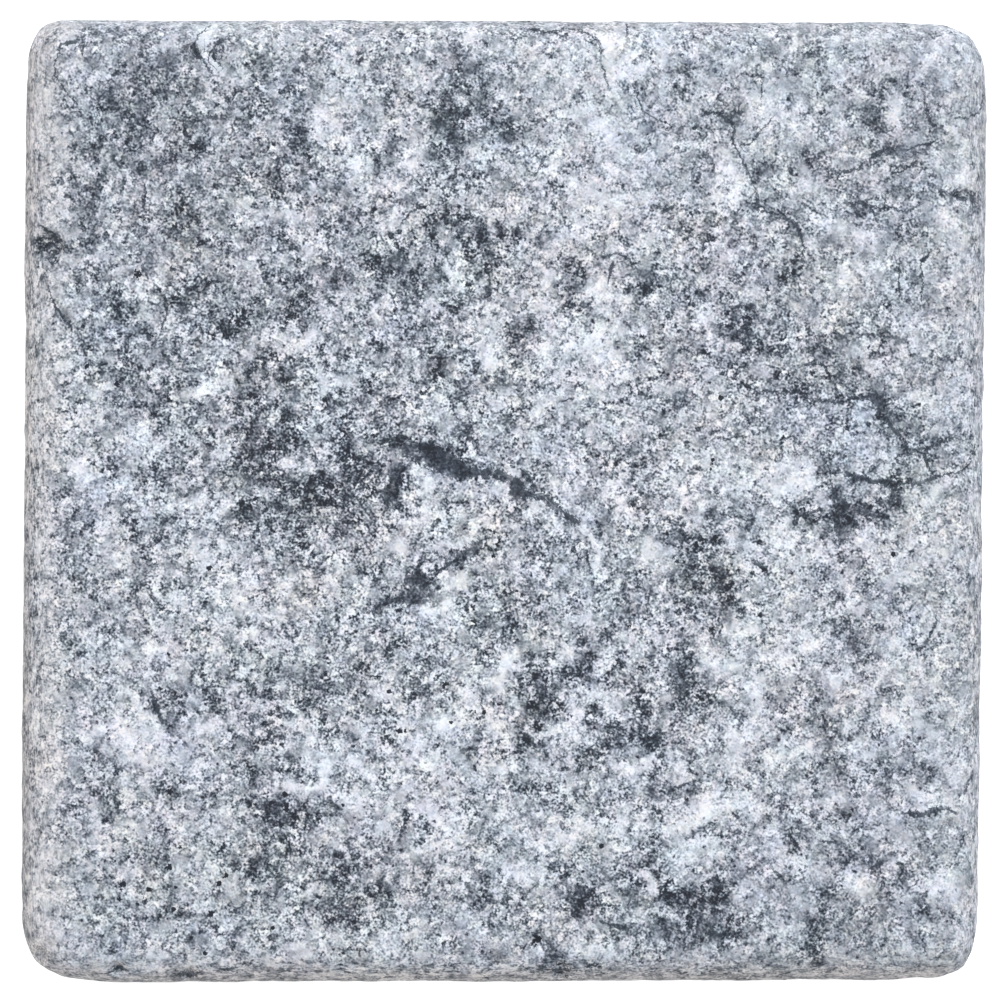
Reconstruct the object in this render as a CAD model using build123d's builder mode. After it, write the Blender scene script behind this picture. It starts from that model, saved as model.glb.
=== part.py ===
"""Tumbled marble tile: one sawn square of stone, worn round at every edge and corner.

The tile lies on its sawn back with its show face up. The origin is the middle of the back,
+Z goes up through the show face, and the far edge of the tile is at +Y. Millimetres.
"""

import os
from math import hypot

from build123d import *

# The sawn blank. Its four sides differ a little, and the near side stands off to the left of
# the far side, because the blank was cut slightly out of square.
far_width = 100.2
near_width = 99.7
left_length = 100.4
right_length = 99.8
near_side_lean = 0.85
thickness = 10.0

# Wear from the drum: how far each corner is rounded, seen from above
far_left_corner = 4.6
far_right_corner = 6.2
near_right_corner = 5.4
near_left_corner = 6.6

# Wear from the drum: how far the edges roll over into the show face and into the back
show_edge_roll = 4.2
back_edge_roll = 2.6

# The least flat band that is left round the tile between the two rolled edges
least_side_band = 0.8

# A rolled edge turns inside the corner that it goes round, so it is limited by the tightest one
tightest_corner = min(far_left_corner, far_right_corner, near_right_corner, near_left_corner)
widest_roll = 0.95 * tightest_corner
roll_height = thickness - least_side_band
roll_share = min(1.0, roll_height / (show_edge_roll + back_edge_roll))
show_roll = min(show_edge_roll * roll_share, widest_roll)
back_roll = min(back_edge_roll * roll_share, widest_roll)

# Corners of the blank, with the corner that each one is worn to
far_middle = near_side_lean / 2
near_middle = -near_side_lean / 2
corners = [
    ((far_middle - far_width / 2, left_length / 2), far_left_corner),
    ((near_middle - near_width / 2, -left_length / 2), near_left_corner),
    ((near_middle + near_width / 2, -right_length / 2), near_right_corner),
    ((far_middle + far_width / 2, right_length / 2), far_right_corner),
]


def nearest_vertex(vertices, point):
    """The one of these vertices that stands at the given corner of the blank."""
    return min(vertices, key=lambda v: hypot(v.X - point[0], v.Y - point[1]))


# Outline from above: the blank with its four corners worn round
with BuildSketch() as outline:
    with BuildLine():
        Polyline([point for point, _ in corners], close=True)
    make_face()
    for corner_point, corner_radius in corners:
        fillet(nearest_vertex(outline.vertices(), corner_point), corner_radius)

outline_middle = outline.sketch.bounding_box().center()

# The tile: the outline at full thickness, rolled over at the show face and at the back
with BuildPart() as marble_tile:
    with BuildSketch(Plane((-outline_middle.X, -outline_middle.Y, 0))):
        add(outline.sketch)
    extrude(amount=thickness)
    show_face = marble_tile.faces().sort_by(Axis.Z)[-1]
    fillet(show_face.edges(), show_roll)
    back_face = marble_tile.faces().sort_by(Axis.Z)[0]
    fillet(back_face.edges(), back_roll)

marble_tile.part.label = "marble_tile"

os.makedirs("parts", exist_ok=True)
export_step(marble_tile.part, "parts/marble_tile.step")

box = marble_tile.part.bounding_box()
print("size", box.size, "lowest", box.min, "volume", round(marble_tile.part.volume))
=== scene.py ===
"""Looks of a tumbled marble tile: the worn block itself, its stone, a white table and soft light.

The tile lies on its back with its show face up, +Z out of that face and +Y towards its far edge.
Lengths are in metres where Blender takes them and in millimetres where a name says so.
Places on the show face are given in the picture's own points, from its top left corner.
"""

import bmesh
import bpy
import numpy as np
from mathutils import Matrix, Vector, noise


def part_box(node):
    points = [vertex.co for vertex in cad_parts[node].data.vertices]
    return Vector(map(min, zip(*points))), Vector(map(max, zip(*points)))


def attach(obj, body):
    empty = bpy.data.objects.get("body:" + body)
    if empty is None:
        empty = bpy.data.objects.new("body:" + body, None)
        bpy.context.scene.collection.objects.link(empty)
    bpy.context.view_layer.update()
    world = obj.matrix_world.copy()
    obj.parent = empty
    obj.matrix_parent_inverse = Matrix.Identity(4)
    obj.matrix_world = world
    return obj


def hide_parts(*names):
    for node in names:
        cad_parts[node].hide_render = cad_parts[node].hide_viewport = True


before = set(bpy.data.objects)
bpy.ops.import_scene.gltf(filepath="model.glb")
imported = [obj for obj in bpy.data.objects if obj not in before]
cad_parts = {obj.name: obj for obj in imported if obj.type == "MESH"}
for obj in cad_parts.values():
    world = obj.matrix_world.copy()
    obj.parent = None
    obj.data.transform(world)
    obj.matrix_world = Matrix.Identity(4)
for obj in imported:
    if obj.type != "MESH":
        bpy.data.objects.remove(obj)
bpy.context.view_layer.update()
tile_low, tile_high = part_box("marble_tile")

MM = 0.001

# The picture: its size, how many of its points go to a millimetre, and which point is the tile's middle
PICTURE_WIDTH = 1000
PICTURE_HEIGHT = 1003
POINTS_PER_MM = 9.578
TILE_MIDDLE_POINT = (504.2, 501.0)

# The camera looks straight down from here, and sees the tile's outline at half its thickness
CAMERA_DISTANCE = 0.7
OUTLINE_LEVEL = tile_high.z / 2
AIM_X = (PICTURE_WIDTH / 2 - TILE_MIDDLE_POINT[0]) / POINTS_PER_MM * MM
AIM_Y = (TILE_MIDDLE_POINT[1] - PICTURE_HEIGHT / 2) / POINTS_PER_MM * MM

# The sawn blank, in millimetres: each corner, and how far the drum has worn it round
BLANK_CORNERS = {
    "far_left": ((-49.7, 50.2), 4.6),
    "near_left": ((-50.3, -50.2), 7.0),
    "near_right": ((49.4, -49.9), 5.4),
    "far_right": ((50.5, 49.9), 6.2),
}
SHOW_ROLL_MM = 4.2
BACK_ROLL_MM = 2.6
ROUNDING_STEPS = 10

# Fineness of the worn skin, in millimetres, and the share of the flat back's faces that is kept
SKIN_STEP_MM = 0.42
BACK_SHARE = 0.08

# Wear of the skin: which part of it, size of the dents and their depth in millimetres, and how much of that
# is outwards
WEAR_PASSES = [
    ("rim", 11.0, 0.28, 0.52),
    ("rim", 2.8, 0.24, 0.50),
    ("rim", 0.9, 0.10, 0.40),
    ("face", 7.0, 0.10, 0.20),
    ("face", 1.3, 0.07, 0.30),
    ("chips", 1.2, 1.6, 0.0),
]

# How steeply the skin rises where each kind of wear acts, from none of it to all of it
RIM_RISES = (0.995, 0.75)
FACE_RISES = (0.75, 0.98)
CHIP_RISES = (0.0, 0.3)

# How far above the sawn back the rim's wear starts and is full, in millimetres
WEAR_HEIGHTS_MM = (0.05, 2.0)

# Chips knocked out of the rim: place in the picture, and reach in its points. A chip fades out this far past
# its reach, and is full over this share of it.
CHIP_FADE = 2
CHIP_CORE = 0.4
CHIPS = [
    (50, 247, 17), (193, 51, 7), (216, 54, 9), (540, 942, 7), (560, 972, 9), (118, 970, 8), (188, 975, 6),
    (66, 318, 6), (960, 198, 9), (40, 955, 8), (968, 470, 6),
]

# Knocks at the corners: place in the picture, reach in its points, and how far the rim stands out or in
# there, in millimetres
CORNER_KNOCKS = [
    (967, 37, 16, 0.22), (925, 24, 35, -0.2), (983, 76, 20, -0.16),
    (42, 27, 16, 0.28), (75, 20, 28, 0.15), (28, 66, 24, -0.17),
    (36, 960, 17, 0.28), (82, 978, 22, -0.4), (22, 900, 32, -0.16),
    (961, 966, 14, 0.27), (918, 977, 22, -0.34), (973, 938, 14, -0.26),
]

# A soft brush: how fast it fades from its middle, and how many reaches out nothing of it is left
BRUSH_FADE = 1.5
BRUSH_END = 2.2

# How strong all drifts and clouds are, and how many tone steps they can reach together
CLOUD_STRENGTH = 1.34
CLOUD_LIMIT = 2.2

# Broad drifts of the stone's tone, as strokes of a soft brush: at one point of the picture or from one to
# another, how far the brush reaches in its points, and how many tone steps it goes down or up
DRIFTS = [
    (250, 115, 60, -0.25), (370, 270, 45, -0.3), (455, 190, 40, -0.25), (355, 375, 30, -0.2),
    (230, 420, 480, 450, 55, -0.3), (275, 510, 45, -0.6), (335, 475, 45, -0.6), (380, 500, 35, -0.3),
    (680, 575, 45, -0.4), (665, 690, 40, -0.3), (580, 760, 35, -0.2), (880, 185, 40, -0.3),
    (775, 370, 840, 380, 45, -0.35), (600, 910, 700, 920, 50, -0.4), (860, 925, 45, -0.4),
    (870, 500, 30, -0.2), (370, 660, 40, -0.3), (320, 705, 40, -0.2), (510, 630, 35, -0.2),
    (370, 880, 35, -0.2), (300, 860, 35, -0.15), (200, 300, 220, -0.12),
    (590, 100, 610, 220, 60, 0.4), (560, 340, 575, 430, 40, 0.4), (700, 480, 45, 0.25),
    (220, 580, 40, 0.35), (310, 600, 40, 0.2), (140, 660, 40, 0.2), (450, 720, 50, 0.3),
    (385, 800, 35, 0.35), (500, 820, 40, 0.45), (800, 590, 45, 0.3), (880, 680, 45, 0.35),
    (765, 715, 35, 0.25), (455, 500, 30, 0.2), (860, 270, 40, 0.2), (770, 150, 60, 0.15),
    (930, 540, 40, 0.3),
]

# Dark clumps and pale clots, as smaller strokes of the same kind, each from one point to another
CLOUDS = [
    # Far left, dark
    (110, 135, 150, 75, 45, -0.45), (143, 68, 149, 95, 14, -0.9), (108, 97, 130, 112, 13, -0.9),
    (148, 113, 138, 130, 12, -0.8), (85, 148, 97, 140, 14, -0.9), (128, 160, 138, 172, 11, -0.8),
    (138, 172, 163, 166, 9, -0.6), (70, 180, 80, 192, 13, -0.95), (82, 205, 85, 230, 12, -0.5),
    (85, 240, 84, 248, 10, -1.1), (48, 238, 45, 255, 13, -1), (168, 70, 175, 88, 13, -0.6),
    (193, 84, 193, 98, 9, -0.8), (180, 122, 192, 120, 11, -0.9), (183, 150, 193, 143, 14, -1.2),
    (184, 205, 188, 218, 13, -1.1), (165, 212, 195, 190, 18, -0.4), (175, 232, 193, 242, 10, -0.6),
    (125, 205, 145, 208, 8, -0.7), (196, 290, 208, 280, 10, -1.1), (165, 297, 182, 298, 8, -1.1),
    (182, 298, 194, 312, 9, -1.1), (225, 315, 240, 320, 13, -1.2), (240, 312, 265, 320, 10, -1),
    (119, 302, 123, 312, 12, -1.2), (123, 312, 130, 332, 10, -1), (153, 340, 160, 350, 10, -1.1),
    (75, 283, 90, 290, 10, -0.6), (90, 290, 93, 315, 9, -0.6), (258, 65, 275, 78, 10, -0.8),
    (254, 85, 249, 118, 10, -0.8), (290, 75, 312, 84, 12, -0.7), (240, 155, 248, 165, 10, -0.8),
    (280, 128, 297, 135, 10, -0.7), (300, 140, 310, 152, 9, -0.8), (300, 157, 288, 168, 9, -0.7),
    (271, 175, 274, 193, 9, -0.9), (310, 172, 335, 178, 8, -0.6), (295, 273, 305, 270, 11, -1.1),
    (290, 240, 300, 258, 9, -0.6), (335, 225, 340, 250, 9, -0.8), (290, 305, 305, 303, 9, -1),
    (305, 303, 315, 316, 8, -1.1), (288, 308, 283, 330, 8, -0.8),
    # Far left, pale
    (203, 40, 222, 28, 8, 1), (238, 78, 230, 95, 9, 0.7), (325, 125, 360, 170, 13, 1),
    (105, 165, 120, 185, 10, 0.6), (285, 215, 305, 218, 14, 0.6), (245, 262, 265, 265, 11, 0.7),
    (150, 280, 140, 290, 10, 0.7), (143, 300, 152, 322, 11, 0.8), (305, 340, 318, 330, 9, 0.8),
    (275, 345, 300, 345, 10, 1), (328, 308, 345, 300, 10, 0.6),
    # Far middle, dark
    (402, 138, 380, 170, 9, -0.6), (440, 45, 455, 65, 9, -0.6), (465, 68, 458, 86, 11, -0.8),
    (478, 68, 482, 82, 12, -0.7), (445, 110, 465, 115, 14, -1.5), (485, 108, 500, 115, 9, -0.8),
    (440, 125, 450, 143, 10, -0.9), (450, 142, 475, 140, 10, -0.6), (503, 125, 510, 145, 9, -0.7),
    (433, 152, 443, 173, 9, -1), (448, 218, 468, 220, 9, -0.9), (485, 225, 473, 250, 10, -1.3),
    (435, 228, 437, 252, 13, -0.8), (475, 255, 485, 265, 12, -0.7), (508, 235, 505, 258, 10, -0.6),
    (395, 250, 388, 265, 13, -0.9), (388, 278, 380, 292, 9, -1.2), (335, 282, 355, 287, 10, -0.9),
    (408, 272, 412, 290, 11, -1.2), (418, 286, 433, 276, 9, -1.3), (446, 298, 453, 303, 10, -1.1),
    (485, 282, 497, 298, 11, -0.5), (404, 337, 412, 332, 9, -1), (378, 343, 388, 350, 9, -0.9),
    (505, 335, 522, 328, 12, -0.8), (513, 343, 512, 365, 9, -0.8), (572, 262, 578, 275, 10, -0.7),
    (568, 280, 562, 305, 10, -0.8), (590, 242, 602, 240, 9, -0.9), (635, 285, 652, 287, 12, -1.3),
    (668, 312, 675, 305, 11, -0.9),
    # Far middle, pale
    (348, 60, 358, 95, 12, 0.5), (390, 178, 405, 182, 10, 1.2), (415, 148, 412, 165, 8, 0.9),
    (392, 205, 395, 228, 9, 0.8), (470, 25, 470, 55, 7, 0.9), (462, 163, 490, 152, 8, 0.6),
    (456, 265, 451, 288, 7, 0.8), (378, 310, 392, 308, 11, 1.3), (478, 325, 495, 362, 8, 1.1),
    (538, 180, 560, 178, 9, 0.8), (548, 275, 542, 298, 10, 1.1), (555, 237, 570, 230, 9, 1),
    (545, 68, 575, 58, 12, 0.6), (615, 48, 622, 62, 12, 1.2), (630, 67, 655, 62, 11, 0.8),
    (645, 35, 655, 45, 10, 0.7), (606, 125, 612, 142, 9, 0.7), (590, 205, 605, 208, 11, 0.8),
    (590, 285, 615, 305, 12, 1), (598, 340, 612, 330, 13, 1.3),
    # Far right, dark
    (725, 116, 740, 113, 8, -1.1), (765, 168, 757, 182, 9, -0.7), (770, 217, 790, 218, 9, -0.9),
    (790, 216, 800, 230, 8, -1.1), (810, 157, 820, 162, 12, -1.1), (885, 90, 908, 88, 10, -0.7),
    (905, 80, 913, 110, 9, -0.9), (868, 108, 877, 125, 8, -1), (928, 112, 934, 132, 9, -1),
    (880, 155, 915, 155, 12, -0.6), (858, 205, 865, 222, 9, -0.9), (911, 212, 907, 238, 8, -0.9),
    (955, 196, 970, 199, 8, -1), (803, 258, 788, 275, 9, -0.8), (785, 275, 795, 292, 11, -1),
    (697, 290, 712, 292, 8, -1), (742, 315, 750, 348, 13, -1.5), (835, 345, 860, 332, 12, -0.6),
    (685, 345, 700, 357, 9, -0.7),
    # Far right, pale
    (730, 160, 743, 190, 9, 1), (710, 200, 740, 195, 12, 0.5), (757, 105, 763, 120, 11, 0.9),
    (765, 82, 778, 95, 10, 0.7), (895, 103, 890, 118, 10, 0.9), (935, 50, 928, 68, 9, 0.7),
    (962, 150, 960, 180, 9, 0.9), (795, 188, 820, 183, 11, 0.6), (840, 230, 865, 240, 10, 1),
    (718, 265, 735, 258, 11, 0.6), (700, 340, 708, 325, 12, 0.8), (850, 290, 865, 275, 10, 0.6),
    # Middle left, dark
    (99, 345, 105, 360, 9, -0.9), (118, 365, 128, 378, 10, -0.9), (165, 402, 158, 410, 9, -0.9),
    (158, 410, 156, 430, 9, -0.8), (210, 408, 208, 440, 10, -0.6), (255, 360, 265, 365, 10, -0.9),
    (273, 350, 275, 380, 8, -0.6), (248, 385, 265, 400, 8, -0.7), (332, 402, 348, 408, 11, -0.7),
    (278, 418, 290, 428, 11, -0.8), (250, 432, 252, 450, 10, -1.2), (257, 452, 272, 455, 11, -1.5),
    (275, 445, 292, 438, 11, -1.5), (223, 466, 238, 466, 8, -1.1), (252, 475, 275, 482, 10, -1),
    (292, 483, 310, 487, 9, -1.4), (310, 487, 317, 505, 9, -1.5), (248, 502, 244, 520, 12, -1.4),
    (335, 508, 350, 502, 11, -1.5), (340, 442, 350, 435, 10, -1.2), (330, 528, 345, 525, 11, -0.7),
    (305, 530, 290, 545, 9, -0.8), (290, 615, 288, 632, 9, -0.8), (338, 642, 350, 640, 11, -0.9),
    (100, 462, 122, 463, 9, -0.6), (125, 465, 145, 472, 8, -0.8), (165, 478, 153, 488, 9, -0.8),
    (128, 525, 140, 540, 10, -0.9), (158, 520, 172, 525, 9, -0.9), (138, 588, 130, 605, 8, -0.9),
    # Middle left, pale
    (200, 362, 225, 345, 9, 0.5), (205, 385, 220, 375, 11, 1.1), (190, 392, 200, 388, 10, 0.8),
    (72, 418, 88, 420, 11, 0.8), (140, 425, 134, 445, 11, 1), (228, 428, 222, 450, 10, 0.9),
    (280, 408, 300, 405, 8, 0.8), (325, 385, 350, 380, 8, 1.1), (285, 468, 298, 455, 11, 0.6),
    (315, 450, 310, 470, 9, 0.7), (262, 505, 280, 493, 8, 0.7), (76, 462, 82, 485, 11, 1),
    (133, 500, 150, 507, 11, 1), (172, 507, 195, 503, 10, 0.8), (213, 508, 222, 503, 11, 1),
    (105, 548, 122, 545, 9, 1), (200, 556, 220, 550, 9, 0.6), (305, 542, 318, 548, 9, 0.8),
    (155, 592, 178, 600, 9, 0.8), (250, 624, 273, 620, 10, 1.5), (155, 648, 178, 655, 13, 1),
    # Centre, dark
    (385, 393, 400, 393, 8, -0.9), (435, 368, 450, 360, 13, -1.4), (483, 367, 497, 380, 8, -1),
    (387, 443, 397, 441, 9, -1.2), (410, 448, 432, 453, 10, -1.4), (432, 453, 468, 468, 8, -1.3),
    (350, 460, 378, 468, 8, -1.1), (398, 472, 392, 495, 9, -1.6), (350, 502, 372, 493, 8, -1),
    (370, 575, 388, 562, 9, -1.3), (422, 575, 412, 595, 11, -1.5), (380, 602, 405, 598, 8, -1),
    (460, 560, 480, 545, 7, -1), (492, 508, 507, 512, 8, -0.9), (517, 485, 519, 497, 9, -1.4),
    (525, 528, 540, 522, 11, -0.8), (597, 440, 593, 455, 8, -0.9), (635, 535, 660, 528, 10, -0.5),
    (515, 605, 525, 612, 8, -1.1), (492, 632, 502, 627, 10, -1.3), (402, 640, 410, 650, 11, -1),
    (528, 655, 542, 660, 10, -1), (585, 655, 578, 670, 8, -1.1),
    # Centre, pale
    (425, 415, 442, 405, 12, 0.9), (440, 420, 441, 435, 8, 0.9), (537, 405, 532, 420, 8, 0.9),
    (608, 355, 610, 375, 12, 1.3), (590, 388, 602, 392, 11, 1.1), (422, 490, 424, 510, 10, 1.5),
    (408, 520, 404, 550, 9, 1.2), (410, 468, 440, 475, 7, 0.6), (472, 490, 505, 487, 9, 1.2),
    (455, 540, 468, 530, 9, 1.1), (520, 515, 550, 510, 7, 0.7), (543, 560, 546, 578, 8, 0.9),
    (590, 495, 587, 515, 8, 0.7), (612, 490, 625, 502, 9, 1.2), (620, 525, 615, 542, 9, 1),
    (648, 552, 663, 560, 11, 1.5), (430, 612, 450, 605, 10, 1.2), (445, 590, 465, 585, 11, 0.9),
    (513, 655, 503, 685, 10, 1.4), (564, 640, 568, 655, 9, 1.3), (632, 630, 636, 648, 11, 1),
    # Middle right, dark
    (733, 367, 745, 375, 12, -0.9), (780, 378, 792, 388, 10, -0.9), (795, 388, 805, 393, 9, -1.1),
    (808, 397, 830, 402, 7, -0.8), (815, 347, 850, 342, 13, -0.5), (830, 382, 845, 386, 10, -0.9),
    (877, 398, 882, 415, 10, -1.5), (885, 402, 900, 407, 8, -1.2), (893, 423, 902, 436, 8, -1),
    (922, 415, 920, 440, 10, -0.6), (905, 447, 918, 447, 10, -0.9), (925, 450, 930, 463, 9, -1),
    (940, 442, 955, 438, 9, -0.9), (815, 452, 845, 463, 8, -0.6), (850, 480, 872, 478, 9, -0.8),
    (893, 480, 891, 503, 10, -1.4), (900, 485, 925, 483, 8, -0.9), (895, 508, 885, 520, 9, -1.1),
    (836, 497, 843, 508, 9, -1.3), (850, 515, 870, 512, 11, -1.3), (840, 520, 841, 540, 11, -1.6),
    (798, 508, 820, 512, 8, -1.1), (703, 518, 705, 535, 9, -1.3), (704, 535, 695, 575, 10, -1.5),
    (678, 540, 688, 542, 12, -1.2), (710, 530, 722, 533, 9, -1), (712, 577, 728, 582, 9, -1.2),
    (728, 583, 728, 605, 10, -1.4), (683, 605, 695, 608, 9, -0.9), (718, 612, 722, 630, 9, -0.8),
    (825, 578, 823, 598, 8, -0.8), (835, 627, 858, 640, 8, -0.6), (675, 660, 690, 650, 10, -1),
    # Middle right, pale
    (705, 395, 712, 412, 11, 1), (858, 358, 868, 365, 9, 1.3), (835, 415, 862, 415, 8, 0.7),
    (928, 385, 925, 405, 8, 0.9), (930, 493, 945, 485, 8, 1), (860, 540, 870, 532, 9, 1),
    (795, 470, 808, 478, 11, 1.2), (770, 485, 800, 490, 9, 0.7), (710, 465, 790, 480, 18, 0.6),
    (678, 468, 682, 485, 10, 0.9), (770, 530, 785, 542, 10, 1.3), (815, 555, 832, 550, 8, 1),
    (743, 580, 745, 605, 8, 0.7), (903, 558, 907, 575, 9, 0.7), (735, 637, 758, 632, 10, 1),
    (790, 633, 802, 630, 9, 1), (805, 640, 818, 648, 10, 1.3), (775, 670, 790, 658, 12, 1.2),
    (715, 660, 732, 672, 10, 1.3), (898, 640, 915, 630, 12, 0.7), (690, 640, 710, 650, 9, 0.6),
    # Near left, dark
    (155, 700, 163, 718, 10, -0.9), (165, 710, 185, 700, 12, -0.7), (234, 676, 242, 685, 8, -1.2),
    (242, 686, 258, 696, 8, -0.9), (210, 710, 225, 705, 9, -1), (265, 660, 262, 680, 8, -0.7),
    (275, 705, 268, 722, 9, -1), (312, 703, 330, 690, 13, -1.6), (338, 725, 336, 748, 9, -0.8),
    (262, 748, 280, 743, 9, -0.7), (100, 758, 97, 775, 11, -0.6), (112, 788, 120, 802, 8, -1),
    (257, 770, 266, 779, 8, -1.1), (246, 770, 248, 795, 8, -0.8), (293, 767, 302, 777, 8, -1),
    (258, 808, 290, 805, 13, -1), (262, 820, 282, 822, 11, -1.4), (300, 808, 315, 822, 12, -1.2),
    (285, 830, 300, 848, 10, -0.7), (248, 862, 265, 866, 10, -1.2), (195, 850, 230, 862, 10, -0.5),
    (332, 855, 348, 848, 13, -0.9), (332, 865, 342, 875, 10, -1.2), (342, 878, 336, 893, 8, -1.2),
    (316, 885, 310, 902, 9, -1), (255, 880, 285, 890, 11, -0.6), (330, 912, 350, 908, 14, -0.9),
    (352, 922, 353, 940, 10, -1.1), (150, 925, 172, 912, 9, -0.7), (105, 943, 115, 937, 10, -0.8),
    # Near left, pale
    (125, 695, 140, 692, 9, 1), (105, 730, 125, 725, 10, 1.5), (143, 705, 150, 725, 10, 1.4),
    (130, 748, 145, 740, 13, 1.5), (145, 755, 160, 765, 10, 0.9), (183, 742, 200, 733, 8, 1.1),
    (198, 735, 215, 722, 8, 0.9), (212, 755, 200, 770, 8, 0.8), (285, 708, 293, 722, 9, 0.9),
    (305, 745, 325, 732, 9, 0.8), (335, 760, 318, 785, 10, 1.2), (280, 790, 310, 792, 8, 1.1),
    (157, 800, 165, 812, 9, 0.9), (90, 838, 120, 836, 10, 0.9), (62, 850, 75, 855, 10, 0.7),
    (180, 885, 210, 875, 11, 0.6), (330, 832, 348, 827, 10, 0.8), (345, 803, 370, 800, 11, 1),
    (310, 946, 335, 938, 9, 0.5),
    # Near middle, dark
    (408, 680, 425, 685, 12, -0.6), (472, 740, 478, 745, 10, -0.9), (533, 678, 542, 687, 12, -1.5),
    (562, 680, 580, 672, 9, -1.1), (530, 707, 560, 712, 11, -1.5), (518, 732, 532, 740, 12, -1.5),
    (525, 740, 540, 748, 9, -1), (612, 670, 618, 680, 10, -1.1), (637, 700, 645, 722, 11, -1.3),
    (645, 722, 625, 733, 10, -1), (650, 738, 660, 737, 10, -1.7), (600, 715, 610, 735, 10, -0.8),
    (610, 738, 628, 755, 9, -1), (660, 748, 655, 772, 9, -1), (595, 748, 583, 762, 9, -0.7),
    (528, 788, 543, 783, 9, -0.9), (555, 812, 572, 810, 10, -0.8), (660, 800, 675, 790, 11, -0.8),
    (555, 863, 572, 873, 8, -0.8), (365, 893, 395, 898, 9, -1.2), (418, 882, 410, 897, 9, -0.9),
    (480, 900, 495, 912, 12, -0.9), (573, 895, 590, 905, 13, -1.3), (632, 875, 626, 895, 9, -0.8),
    (657, 848, 652, 868, 10, -1.5), (620, 925, 645, 942, 9, -0.8), (548, 953, 562, 965, 11, -1.1),
    (575, 965, 605, 960, 8, -0.8),
    # Near middle, pale
    (378, 688, 392, 675, 11, 0.9), (408, 733, 415, 742, 9, 1.2), (440, 700, 445, 725, 12, 1.2),
    (465, 685, 475, 700, 9, 1), (460, 725, 475, 715, 10, 0.8), (500, 715, 505, 735, 8, 0.8),
    (350, 750, 362, 768, 8, 0.9), (375, 775, 384, 765, 9, 1.2), (420, 750, 425, 765, 9, 1.1),
    (400, 812, 420, 803, 9, 0.6), (448, 788, 460, 800, 8, 0.8), (425, 815, 442, 815, 11, 1),
    (450, 825, 454, 840, 9, 1.6), (420, 850, 440, 848, 10, 1), (435, 878, 448, 870, 9, 0.8),
    (500, 775, 508, 770, 9, 1.1), (555, 755, 540, 772, 7, 0.9), (550, 733, 575, 733, 7, 0.8),
    (580, 708, 575, 722, 8, 1), (590, 730, 578, 745, 8, 0.8), (585, 693, 605, 690, 10, 1.2),
    (603, 692, 618, 708, 8, 1.1), (635, 770, 645, 757, 9, 0.8), (650, 693, 670, 698, 8, 1),
    (565, 838, 582, 833, 10, 1), (540, 850, 555, 845, 8, 0.9), (622, 825, 623, 850, 10, 1.1),
    (590, 823, 640, 818, 9, 0.6), (510, 872, 522, 868, 9, 1), (640, 888, 646, 882, 9, 1.5),
    (538, 900, 558, 918, 9, 0.5), (642, 922, 660, 910, 8, 0.8), (575, 945, 600, 940, 11, 0.7),
    (370, 962, 395, 950, 9, 0.5),
    # Near right, dark
    (672, 672, 682, 665, 9, -1), (686, 678, 682, 695, 10, -1.4), (705, 685, 720, 680, 11, -1),
    (700, 705, 712, 703, 10, -1.2), (660, 712, 685, 702, 8, -0.7), (832, 745, 845, 735, 9, -0.7),
    (905, 770, 925, 765, 9, -0.9), (838, 825, 850, 818, 10, -0.9), (838, 858, 855, 855, 12, -1.1),
    (783, 827, 797, 838, 8, -0.9), (892, 870, 880, 890, 8, -0.7), (660, 894, 690, 888, 10, -1.6),
    (710, 898, 722, 888, 13, -1.4), (690, 905, 715, 905, 14, -1.4), (693, 930, 700, 937, 10, -1.3),
    (705, 937, 745, 932, 9, -1.2), (660, 930, 675, 942, 11, -1.3), (828, 893, 842, 900, 9, -0.9),
    (828, 908, 812, 918, 11, -1.2), (810, 925, 817, 940, 11, -1.6), (805, 957, 822, 960, 8, -1.1),
    (885, 905, 920, 912, 10, -0.4), (925, 910, 955, 925, 10, -0.5), (760, 958, 795, 965, 9, -0.6),
    # Near right, pale
    (750, 695, 765, 680, 11, 1.2), (728, 738, 742, 735, 9, 0.9), (732, 755, 738, 778, 8, 0.9),
    (675, 765, 680, 780, 9, 1), (770, 758, 810, 752, 12, 1.1), (850, 728, 860, 745, 8, 1.1),
    (833, 685, 848, 700, 9, 1.2), (885, 712, 897, 720, 9, 1), (920, 730, 940, 735, 9, 0.8),
    (940, 748, 940, 770, 9, 0.6), (808, 800, 825, 808, 12, 0.7), (912, 783, 918, 798, 9, 0.8),
    (920, 803, 942, 795, 9, 0.8), (710, 805, 750, 808, 11, 1.5), (675, 828, 705, 815, 11, 1.2),
    (685, 845, 715, 848, 10, 1.2), (772, 835, 790, 862, 9, 0.9), (795, 865, 820, 875, 11, 1),
    (850, 885, 865, 888, 10, 1.1), (920, 885, 940, 888, 11, 0.9), (955, 885, 957, 910, 9, 0.7),
    # The pale crack below the main vein
    (585, 528, 603, 558, 4, 1.3),
]

# The main vein, a band of slate left of the middle: points of the picture with the band's width there
SLATE_BANDS = [
    [(402, 453, 6), (414, 452, 12), (428, 457, 15), (442, 461, 17), (454, 467, 17), (464, 471, 14),
     (474, 474, 9), (487, 475, 7), (499, 475, 7), (508, 477, 6)],
    [(513, 479, 7), (517, 488, 12), (518, 498, 10)],
    [(524, 493, 5), (535, 496, 5), (546, 499, 8), (556, 505, 7), (561, 511, 3)],
]

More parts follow.
